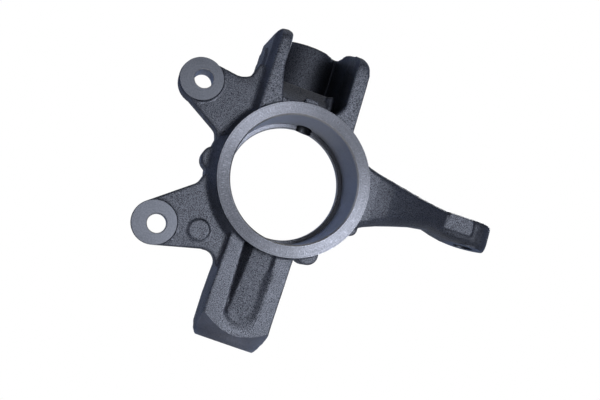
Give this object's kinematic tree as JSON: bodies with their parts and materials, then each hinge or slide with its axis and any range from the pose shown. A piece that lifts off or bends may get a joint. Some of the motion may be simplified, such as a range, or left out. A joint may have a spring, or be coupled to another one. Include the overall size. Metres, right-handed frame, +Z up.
{
  "type": "steering knuckle",
  "caption": "Cast iron steering knuckle with a bearing ring, caliper ears, a ribbed strut clamp above, a ball joint lug below and a curved steering arm at the side.",
  "frame": {"origin": "middle of the wheel bearing seat, on its axis", "axes": "+X along the car towards the steering arm's eye, +Y inboard along the wheel bearing's axis, +Z up towards the strut clamp"},
  "size_m": [0.2486, 0.1297, 0.2168],
  "materials": {
    "casting": "sand cast skin, with bright machined seats and faces"
  },
  "bodies": {
    "root": {"knuckle_casting": "casting"}
  },
  "joints": []
}
